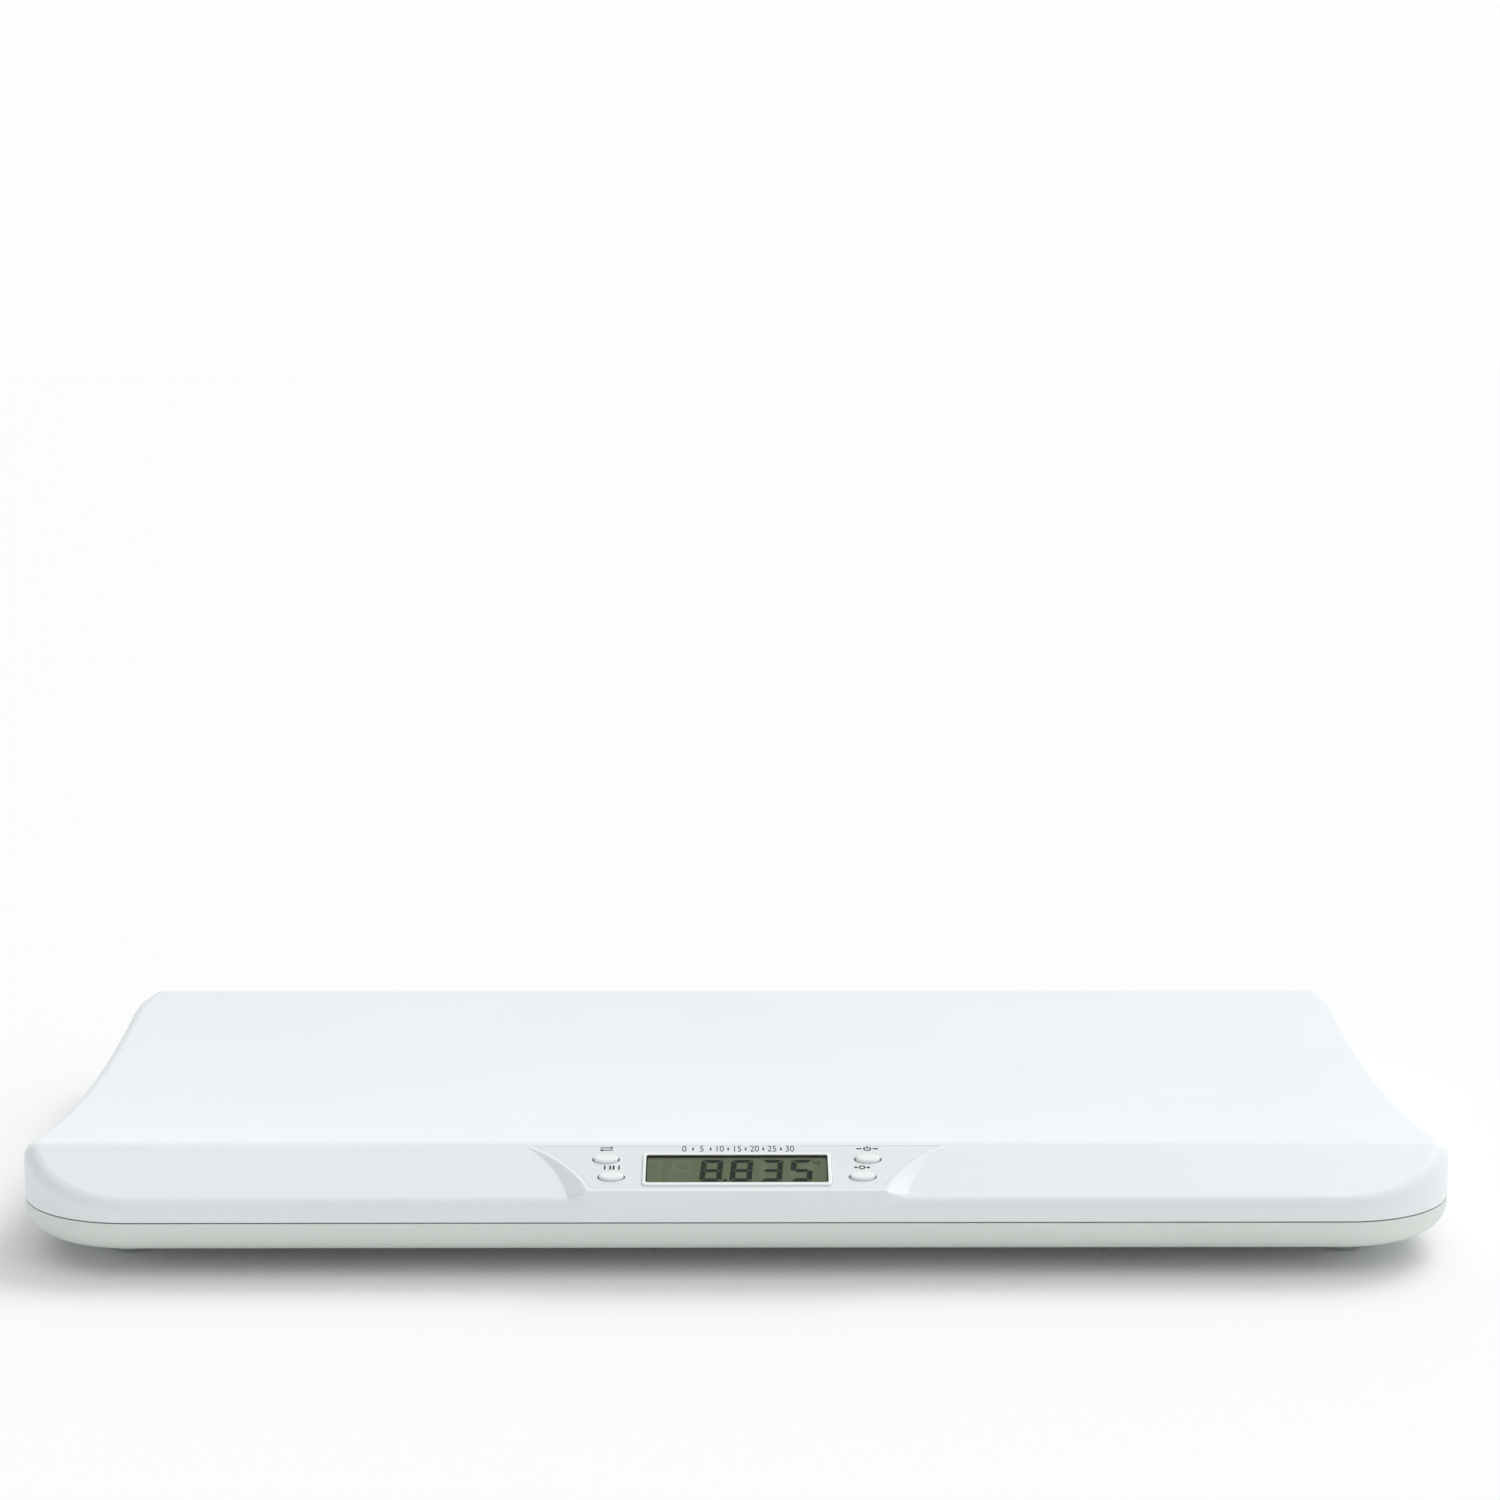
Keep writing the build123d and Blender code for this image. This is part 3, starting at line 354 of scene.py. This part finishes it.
def metal(name, colour, roughness=0.32, brushed=(1.0, 1.0, 1.0), stain=0.25, depth=0.004 * MM):
    """Plated or bare metal: drawn or blasted grain, dull patches, and dark joints that are partly
    painted shade in grooves and corners.
    """
    finish = Finish(name, colour, roughness, Metallic=1.0)
    grain = finish.noise(0.5 * MM, 3.0, finish.stretched(brushed))
    patches = finish.noise(5 * MM, 4.0, rough=0.6)
    stained = finish.maths("MULTIPLY", finish.map(patches, 0.45, 0.7), stain)
    finish.tint(stained, darker(colour, 0.45))
    # Joints and grooves found by the occlusion mask are darkened: partly dark joints, partly painted
    # shade.
    finish.tint(finish.maths("MULTIPLY", finish.shaded_hollows(1.5 * MM), 0.4), darker(colour, 0.7))
    drawn = finish.map(grain, 0.3, 0.7, roughness - 0.08, roughness + 0.1)
    finish.roughness = finish.maths("ADD", drawn, finish.map(patches, 0.4, 0.8, 0.0, 0.12))
    finish.relief(grain, depth)
    return finish.done()


def rubber(name, colour, grain=0.45 * MM):
    """Matt rubber with a pebbled face and pale dust."""
    finish = Finish(name, colour, 0.8, IOR=1.5)
    dust = finish.map(finish.noise(3 * MM, 5.0, rough=0.65), 0.48, 0.72)
    finish.tint(finish.maths("MULTIPLY", dust, 0.3), lighter(colour, 1.5, 0.08))
    finish.gloss(finish.noise(2 * MM, 3.0), 0.68, 0.9)
    finish.relief(finish.noise(grain, 3.0), 0.05 * MM)
    return finish.done()


def zebra_rubber(name):
    """Elastomer strip with closely spaced dark conducting layers."""
    finish = Finish(name, (0.72, 0.68, 0.64), 0.6)
    values = {"Vector": finish.place, "Scale": 320.0, "Distortion": 0.1}
    bands = finish.node("ShaderNodeTexWave", values, bands_direction="X").outputs["Fac"]
    finish.tint(finish.map(bands, 0.45, 0.55), (0.06, 0.06, 0.06))
    finish.gloss(finish.noise(1 * MM), 0.5, 0.7)
    finish.relief(bands, 0.02 * MM)
    return finish.done()


def circuit_board(name):
    """Green solder mask over copper tracks, with tinned vias."""
    mask_green = (0.015, 0.13, 0.055)
    track_green = (0.035, 0.24, 0.09)
    tin = (0.62, 0.60, 0.52)
    finish = Finish(name, mask_green, 0.3, IOR=1.5)
    values = {"Vector": finish.place, "Scale": 260.0}
    cells = finish.node("ShaderNodeTexVoronoi", values, distance="CHEBYCHEV")
    tracks = finish.map(cells.outputs["Distance"], 0.42, 0.46)
    finish.tint(finish.maths("MULTIPLY", tracks, 0.8), track_green)
    vias = finish.node("ShaderNodeTexVoronoi", {"Vector": finish.place, "Scale": 150.0})
    finish.tint(finish.map(vias.outputs["Distance"], 0.10, 0.12, 1.0, 0.0), tin)
    finish.gloss(finish.noise(3 * MM, 3.0), 0.22, 0.42)
    finish.relief(tracks, 0.03 * MM)
    return finish.done()


def sheath(name, colour):
    """Soft cable sheath with slight kinks in its gloss."""
    finish = Finish(name, colour, 0.45, IOR=1.5)
    finish.tint(finish.map(finish.noise(6 * MM, 3.0), 0.4, 0.7), darker(colour, 0.15))
    finish.gloss(finish.noise(2 * MM, 3.0), 0.34, 0.56)
    finish.relief(finish.noise(0.9 * MM, 2.0), 0.03 * MM)
    return finish.done()


def battery_jacket(name):
    """Battery: steel ends, dark foil sleeve with one lighter band."""
    sleeve_dark, band_copper, steel = (0.028, 0.03, 0.034), (0.62, 0.36, 0.08), (0.60, 0.60, 0.58)
    low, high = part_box("batteries")
    middle_y = (low.y + high.y) / 2
    half = (high.y - low.y) / 2
    finish = Finish(name, sleeve_dark, 0.28, IOR=1.5)
    across = finish.node("ShaderNodeSeparateXYZ", {0: finish.place}).outputs["Y"]
    offset = finish.maths("ABSOLUTE", finish.maths("SUBTRACT", across, middle_y))
    past_start = finish.map(across, middle_y + 0.30 * half, middle_y + 0.31 * half)
    before_end = finish.map(across, middle_y + 0.58 * half, middle_y + 0.59 * half, 1.0, 0.0)
    finish.tint(finish.maths("MULTIPLY", past_start, before_end), band_copper)
    ends = finish.map(offset, half * 0.80, half * 0.805)
    finish.tint(ends, steel)
    finish.tree.links.new(ends, finish.shader.inputs["Metallic"])
    finish.gloss(finish.noise(2.5 * MM, 4.0), 0.2, 0.4)
    finish.relief(finish.noise(0.6 * MM, 2.0), 0.008 * MM)
    return finish.done()


def paper_label(name):
    """Matt coated label stock with paper fibre."""
    finish = Finish(name, (0.80, 0.81, 0.80), 0.55)
    finish.tint(finish.map(finish.noise(12 * MM, 3.0), 0.4, 0.7), (0.74, 0.75, 0.73))
    finish.gloss(finish.noise(2 * MM, 3.0), 0.45, 0.65)
    finish.relief(finish.noise(0.4 * MM, 3.0), 0.008 * MM)
    return finish.done()


COVER_WHITE = (0.842, 0.865, 0.882)
# The base's own greener grey, darkened further as painted shade of the downward-facing lower shell; the
# feet share it.
BASE_GREY_AND_SHADE = (0.730, 0.767, 0.725)
FILM_GREY = (0.775, 0.80, 0.812)
LCD_OLIVE = (0.175, 0.212, 0.122)
BEZEL_WHITE = (0.90, 0.91, 0.91)
KEY_WHITE = (0.88, 0.895, 0.90)
CHIP_BLACK = (0.02, 0.02, 0.022)
WAX = (0.74, 0.73, 0.66)
finishes = {
    "cover_abs": moulded("cover_white", COVER_WHITE),
    "base_abs": moulded("base_grey_and_shade", BASE_GREY_AND_SHADE, roughness=0.46),
    "overlay_film": film("film_grey", FILM_GREY),
    "bezel_abs": moulded("bezel_white", BEZEL_WHITE, roughness=0.26, depth=0.004 * MM, dust_and_shade=0.1),
    "window_clear": clear_window("window_acrylic"),
    "lcd_glass": liquid_crystal("lcd_olive", LCD_OLIVE),
    "holder_plastic": moulded("holder_white", (0.78, 0.78, 0.76), roughness=0.5, edge_wear_and_highlight=0),
    "contact_rubber": zebra_rubber("zebra_strip"),
    "board_laminate": circuit_board("solder_mask"),
    "chip_black": moulded("chip_epoxy", CHIP_BLACK, roughness=0.55, grain=0.2 * MM, edge_wear_and_highlight=0.3, dust_and_shade=0),
    "header_nylon": moulded("header_cream", (0.80, 0.78, 0.68), roughness=0.5, edge_wear_and_highlight=0.3),
    "switch_black": moulded("switch_dark", (0.035, 0.035, 0.038), roughness=0.4, edge_wear_and_highlight=0.4, dust_and_shade=0),
    "plunger_plastic": moulded("plunger_white", (0.82, 0.82, 0.80), roughness=0.45, edge_wear_and_highlight=0.3),
    "key_abs": moulded("key_white", KEY_WHITE, roughness=0.34, depth=0.005 * MM, dust_and_shade=0.15),
    "cell_steel": metal("cell_nickel", (0.62, 0.62, 0.60), 0.3, brushed=(0.05, 1.0, 1.0)),
    "gauge_sealant": moulded("gauge_wax", WAX, roughness=0.35, grain=1.2 * MM, depth=0.05 * MM),
    "foot_abs": moulded("foot_grey_and_shade", BASE_GREY_AND_SHADE, roughness=0.46),
    "pad_rubber": rubber("pad_grey", (0.42, 0.44, 0.42)),
    "screw_steel": metal("screw_zinc", (0.66, 0.66, 0.64), 0.28, stain=0.35),
    "wire_pvc": sheath("wire_grey", (0.50, 0.51, 0.52)),
    "lead_pvc": sheath("lead_black", (0.03, 0.03, 0.032)),
    "battery_jacket": battery_jacket("battery_sleeve"),
    "contact_steel": metal("contact_nickel", (0.72, 0.70, 0.66), 0.22, brushed=(1.0, 1.0, 0.08)),
    "spring_steel": metal("spring_nickel", (0.70, 0.69, 0.66), 0.25, stain=0.4),
    "label_stock": paper_label("label_white"),
}
for node in nodes.values():
    for place in node.material_slots:
        place.material = finishes[place.material.name]

segment_ink = ink("segment_ink", (0.010, 0.018, 0.010), 0.4)
ghost_ink = ink("ghost_ink", darker(LCD_OLIVE, 0.06), 0.5)
mask_and_shadow_ink = ink("mask_and_shadow_ink", (0.022, 0.026, 0.020), 0.45)
print_ink = ink("print_ink", (0.030, 0.032, 0.034), 0.5)
label_ink = ink("label_ink", (0.05, 0.05, 0.055), 0.5)


# ---------------------------------------------------------------------------------------------
# Flat pieces: outlines raised into thin closed solids
# ---------------------------------------------------------------------------------------------
INK_THICKNESS = 0.01 * MM


def rounded_loop(x, y, width, height, radius, steps=5):
    """A rectangle with round corners about a middle point, run round once."""
    loop = []
    for corner, (side, end) in enumerate(((1, 1), (-1, 1), (-1, -1), (1, -1))):
        for step in range(steps + 1):
            angle = math.radians(90) * (corner + step / steps)
            loop.append((x + side * (width / 2 - radius) + radius * math.cos(angle),
                         y + end * (height / 2 - radius) + radius * math.sin(angle)))
    return loop


def bar(start, end, width):
    """A straight stroke between two points."""
    first, last = Vector(start), Vector(end)
    side = (last - first).orthogonal().normalized() * width / 2
    return [tuple(first + side), tuple(first - side), tuple(last - side), tuple(last + side)]


def arc(centre, radius, width, start, end, steps=20):
    """A curved stroke about a centre, between two angles in degrees."""
    angles = [math.radians(start + (end - start) * step / steps) for step in range(steps + 1)]
    outer = [(radius + width / 2, angle) for angle in angles]
    inner = [(radius - width / 2, angle) for angle in reversed(angles)]
    return [(centre[0] + r * math.cos(a), centre[1] + r * math.sin(a)) for r, a in outer + inner]


def area(loop):
    """Signed area of an outline, positive when it runs anticlockwise."""
    pairs = zip(loop, loop[1:] + loop[:1])
    return sum(a[0] * b[1] - b[0] * a[1] for a, b in pairs) / 2


def finish_piece(piece_mesh, name, place, ink_used, body=PLATFORM):
    """Turn a mesh into a piece that rides on a body."""
    piece_mesh.transform(place)
    piece_mesh.materials.clear()
    piece_mesh.materials.append(ink_used)
    piece = link(bpy.data.objects.new(name, piece_mesh))
    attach(piece, body)
    return piece


def raised(name, loops, base, place, ink_used):
    """Outlines raised from a base height into thin closed solids."""
    shape = bmesh.new()
    for loop in loops:
        ordered = loop if area(loop) > 0 else loop[::-1]
        bottom = [shape.verts.new((x, y, base)) for x, y in ordered]
        top = [shape.verts.new((x, y, base + INK_THICKNESS)) for x, y in ordered]
        shape.faces.new(top)
        shape.faces.new(bottom[::-1])
        for index in range(len(ordered)):
            after = (index + 1) % len(ordered)
            shape.faces.new((bottom[index], bottom[after], top[after], top[index]))
    mesh = bpy.data.meshes.new(name)
    shape.to_mesh(mesh)
    shape.free()
    return finish_piece(mesh, name, place, ink_used)


def raised_frame(name, outer, inner, base, place, ink_used):
    """The band between two outlines of equal count, raised into a closed solid."""
    shape = bmesh.new()
    rings = [[shape.verts.new((x, y, height)) for x, y in loop]
             for height in (base, base + INK_THICKNESS) for loop in (outer, inner)]
    bottom_outer, bottom_inner, top_outer, top_inner = rings
    for index in range(len(outer)):
        after = (index + 1) % len(outer)
        for a, b in ((top_outer, top_inner), (top_inner, bottom_inner),
                     (bottom_inner, bottom_outer), (bottom_outer, top_outer)):
            shape.faces.new((a[index], a[after], b[after], b[index]))
    bmesh.ops.recalc_face_normals(shape, faces=shape.faces)
    mesh = bpy.data.meshes.new(name)
    shape.to_mesh(mesh)
    shape.free()
    return finish_piece(mesh, name, place, ink_used)


def figures(name, marks, size, squeeze, base, place, ink_used):
    """Numbers or a unit, each mark a (text, x, y) about its middle and squeezed in width."""
    shape = bmesh.new()
    for text, x, y in marks:
        curve = bpy.data.curves.new(name + "_outline", "FONT")
        curve.body = text
        curve.size = size
        curve.align_x = "CENTER"
        curve.align_y = "CENTER"
        curve.extrude = INK_THICKNESS / 2
        holder = link(bpy.data.objects.new(name + "_outline", curve))
        bpy.context.view_layer.update()
        graph = bpy.context.evaluated_depsgraph_get()
        part = bpy.data.meshes.new_from_object(holder.evaluated_get(graph))
        part.transform(Matrix.Diagonal((squeeze, 1, 1, 1)))
        part.transform(Matrix.Translation((x, y, base + INK_THICKNESS / 2)))
        shape.from_mesh(part)
        bpy.data.objects.remove(holder)
        bpy.data.meshes.remove(part)
    bmesh.ops.remove_doubles(shape, verts=shape.verts, dist=1e-6)
    mesh = bpy.data.meshes.new(name)
    shape.to_mesh(mesh)
    shape.free()
    return finish_piece(mesh, name, place, ink_used)


# ---------------------------------------------------------------------------------------------
# Display: dark surround behind the window, a printed mask partly painted as the shadow under the
# window's frame, driven and resting segments, unit mark
# ---------------------------------------------------------------------------------------------
glass_height = span("lcd_panel", PANEL_NORMAL)[1]
display_up = middle("display_bezel", PANEL_UP)
SEGMENT_GAP = 0.1 * MM
STROKE = 2.1 * MM
DIGIT_WIDTH = 8.35 * MM
DIGIT_HEIGHT = 14.8 * MM
DIGIT_PITCH = 11.35 * MM
DIGIT_SLANT = 0.065
DIGIT_COUNT = 6
POINT_AFTER = 3
POINT_SIZE = 1.5 * MM
UNIT_SIZE = 3.9 * MM
UNIT_RIGHT = 30.2 * MM
UNIT_RISE = 5.3 * MM
# The dark border is partly a printed LCD mask and partly painted shadow under the window's frame, so it
# is widest at the top.
MASK_TOP, MASK_BOTTOM, MASK_SIDE = 1.75 * MM, 1.1 * MM, 1.0 * MM
SHOWN = {2: "8", 3: "8", 4: "3", 5: "5"}
SEGMENTS = {"8": "abcdefg", "3": "abcdg", "5": "acdfg"}
digits_left = -14.3 * MM - 2 * DIGIT_PITCH
digits_bottom = display_up - 7.9 * MM


def segment_outlines():
    """Outlines of the seven segments of one upright digit, by their usual letters."""
    w, h, t, g = DIGIT_WIDTH, DIGIT_HEIGHT, STROKE, SEGMENT_GAP
    cut = 0.45 * MM
    half = h / 2
    top = [(g + cut, h), (w - g - cut, h), (w - t - g, h - t), (t + g, h - t)]
    upper_left = [(0, h - g - cut), (0, half + g), (t / 2, half + g),
                  (t, half + t / 2 + g), (t, h - t - g)]
    middle_bar = [(t / 2 + 2 * g, half), (t + 2 * g, half + t / 2), (w - t - 2 * g, half + t / 2),
                  (w - t / 2 - 2 * g, half), (w - t - 2 * g, half - t / 2), (t + 2 * g, half - t / 2)]
    upper_right = [(w - x, y) for x, y in upper_left]
    lower_left = [(x, h - y) for x, y in upper_left]
    lower_right = [(w - x, h - y) for x, y in upper_left]
    bottom = [(x, h - y) for x, y in top]
    return {"a": top, "b": upper_right, "c": lower_right, "d": bottom,
            "e": lower_left, "f": upper_left, "g": middle_bar}


def digit_loops(index, letters):
    """Slanted segment outlines of one digit in its place on the display."""
    left = digits_left + index * DIGIT_PITCH
    outlines = segment_outlines()
    return [[(left + x + DIGIT_SLANT * y, digits_bottom + y) for x, y in outlines[letter]]
            for letter in letters]


def add_display():
    """The marks that are seen through the window."""
    lit, resting = [], []
    for index in range(DIGIT_COUNT):
        letters = SEGMENTS.get(SHOWN.get(index), "")
        lit += digit_loops(index, letters)
        resting += digit_loops(index, [letter for letter in "abcdefg" if letter not in letters])
    point_x = digits_left + POINT_AFTER * DIGIT_PITCH - POINT_SIZE
    lit.append(rounded_loop(point_x, digits_bottom + POINT_SIZE / 2, POINT_SIZE, POINT_SIZE, 0.4 * MM))
    segment_base = glass_height + 0.004 * MM
    raised("display_resting_segments", resting, segment_base, PANEL, ghost_ink)
    raised("display_segments", lit, segment_base, PANEL, segment_ink)
    unit = [("kg", UNIT_RIGHT, display_up + UNIT_RISE)]
    figures("display_unit", unit, UNIT_SIZE, 0.85, segment_base, PANEL, segment_ink)
    left, right = span("display_window", PANEL_RIGHT)
    lower, upper = span("display_window", PANEL_UP)
    across, along = (left + right) / 2, (lower + upper) / 2
    width, height = right - left, upper - lower
    clear = rounded_loop(across, along + (MASK_BOTTOM - MASK_TOP) / 2,
                         width - 2 * MASK_SIDE, height - MASK_TOP - MASK_BOTTOM, 0.7 * MM)
    rim = rounded_loop(across, along, width, height, 0.3 * MM)
    raised_frame("display_mask_and_shadow", rim, clear, glass_height + 0.02 * MM, PANEL, mask_and_shadow_ink)


# ---------------------------------------------------------------------------------------------
# Printing on the overlay: a number scale above the display and a plain sign above each key
# ---------------------------------------------------------------------------------------------
film_height = span("control_overlay", PANEL_NORMAL)[1]
SIGN_LINE = 0.6 * MM
SIGN_RISE = {"unit": 7.4 * MM, "power": 7.4 * MM, "hold": 6.5 * MM, "tare": 6.5 * MM}


def arrow(tip_x, tail_x, y, head):
    """A straight arrow along a row."""
    way = 1 if tip_x > tail_x else -1
    neck = tip_x - way * head
    point = [(tip_x, y), (neck, y + head * 0.75), (neck, y - head * 0.75)]
    return [bar((tail_x, y), (neck, y), SIGN_LINE), point]


def unit_sign(x, y):
    """Two opposite arrows, for changing over."""
    return arrow(x + 2.7 * MM, x - 2.5 * MM, y + 0.8 * MM, 1.2 * MM) + \
        arrow(x - 2.7 * MM, x + 2.5 * MM, y - 0.8 * MM, 1.2 * MM)


def hold_sign(x, y):
    """Two upright bars between two thin ones, for holding the reading."""
    rise = 1.4 * MM
    loops = []
    for side in (-1, 1):
        for offset, width in ((0.65 * MM, 0.7 * MM), (2.7 * MM, SIGN_LINE)):
            loops.append(bar((x + side * offset, y - rise), (x + side * offset, y + rise), width))
    return loops


def power_sign(x, y):
    """A ring broken by a bar, with a dash on each side, for power."""
    loops = [arc((x, y), 1.25 * MM, SIGN_LINE, 130, 410), bar((x, y), (x, y + 1.7 * MM), SIGN_LINE)]
    for side in (-1, 1):
        loops.append(bar((x + side * 2.1 * MM, y), (x + side * 4.2 * MM, y), 0.8 * MM))
    return loops


def tare_sign(x, y):
    """Arrows from both sides towards a nought, for setting to zero."""
    loops = [arc((x, y), 1.0 * MM, SIGN_LINE, 0, 180), arc((x, y), 1.0 * MM, SIGN_LINE, 180, 360)]
    for side in (-1, 1):
        loops += arrow(x + side * 1.45 * MM, x + side * 3.1 * MM, y, 1.1 * MM)
    return loops


def add_printing():
    """The signs above the keys and the number scale above the display."""
    signs = {"unit": unit_sign, "hold": hold_sign, "power": power_sign, "tare": tare_sign}
    for key, sign in signs.items():
        x = middle(f"key_{key}", PANEL_RIGHT)
        up = middle(f"key_{key}", PANEL_UP) + SIGN_RISE[key]
        raised(f"{key}_sign", sign(x, up), film_height, PANEL, print_ink)
    top = span("control_overlay", PANEL_UP)[1]
    scale_up = top - 2.5 * MM
    pitch, count, step = 6.7 * MM, 6, 5
    half_tick, tick_width = 1.0 * MM, 0.6 * MM
    places = [(index - count / 2) * pitch for index in range(count + 1)]
    ticks = []
    for x in places[:-1]:
        between = x + pitch / 2
        ticks.append(bar((between, scale_up - half_tick), (between, scale_up + half_tick), tick_width))
    raised("scale_ticks", ticks, film_height, PANEL, print_ink)
    numbers = [(str(step * index), x, scale_up) for index, x in enumerate(places)]
    figures("scale_numbers", numbers, 5.9 * MM, 0.62, film_height, PANEL, print_ink)


# ---------------------------------------------------------------------------------------------
# Rules on the blank label under the base
# ---------------------------------------------------------------------------------------------
def add_label_rules():
    """A ruled border and table lines on the label."""
    low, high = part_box("rating_label")
    inset, line = 2.0 * MM, 0.35 * MM
    x_middle, y_middle = -(low.x + high.x) / 2, (low.y + high.y) / 2
    width, depth = high.x - low.x - 2 * inset, high.y - low.y - 2 * inset
    face = -low.z
    outer = rounded_loop(x_middle, y_middle, width, depth, 1.0 * MM)
    inner = rounded_loop(x_middle, y_middle, width - 2 * line, depth - 2 * line, 0.7 * MM)
    raised_frame("label_border", outer, inner, face, UNDERSIDE, label_ink)
    rows = 4
    rules = []
    for row in range(1, rows):
        y = y_middle - depth / 2 + row * depth / rows
        rules.append(bar((x_middle - width / 2 + line, y), (x_middle + width / 2 - line, y), line))
    raised("label_rules", rules, face, UNDERSIDE, label_ink)


add_camera()
add_world()
add_key_light()
add_floor()
add_display()
add_printing()
add_label_rules()
bpy.context.scene.view_settings.view_transform = "Standard"
